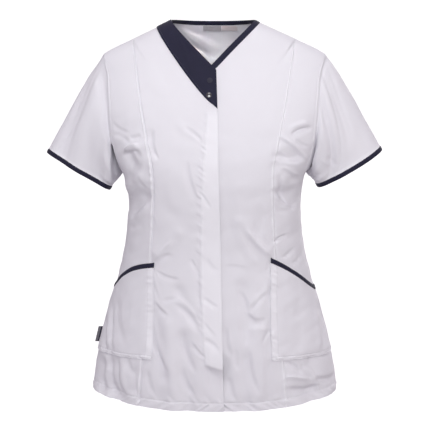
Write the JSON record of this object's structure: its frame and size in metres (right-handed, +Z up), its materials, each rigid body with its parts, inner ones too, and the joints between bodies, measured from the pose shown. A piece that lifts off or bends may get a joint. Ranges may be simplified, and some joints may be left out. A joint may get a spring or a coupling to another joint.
{
  "type": "work tunic",
  "caption": "Short-sleeved women's work tunic in its worn shape with no wearer: V neck with a dark one-sided lapel, hidden front closing, princess seams and bound patch pockets.",
  "frame": {"origin": "inside the worn shape between the shoulders, level with the middle of the shoulder seams, on the line of the side seams", "axes": "+Z up, -Y the garment's front, +X the wearer's left"},
  "size_m": [0.6168, 0.2966, 0.6935],
  "materials": {
    "white_cloth": "plain woven polyester and cotton, soft matt with a faint sheen",
    "navy_cloth": "matt dark navy woven trim",
    "label_cloth": "satin woven label, bare",
    "size_cloth": "satin woven label, bare",
    "stud_enamel": "glossy dark enamel"
  },
  "bodies": {
    "root": {"front_right_centre": "white_cloth", "front_right_side": "white_cloth", "front_left_centre": "white_cloth", "front_left_side": "white_cloth", "back": "white_cloth", "sleeve_right": "white_cloth", "sleeve_left": "white_cloth", "pocket_right": "white_cloth", "pocket_left": "white_cloth", "lapel": "navy_cloth", "neck_binding": "navy_cloth", "cuff_binding_right": "navy_cloth", "cuff_binding_left": "navy_cloth", "pocket_binding_right": "navy_cloth", "pocket_binding_left": "navy_cloth", "side_tab": "navy_cloth", "neck_label": "label_cloth", "size_label": "size_cloth", "stud_upper": "stud_enamel", "stud_lower": "stud_enamel"}
  },
  "joints": []
}
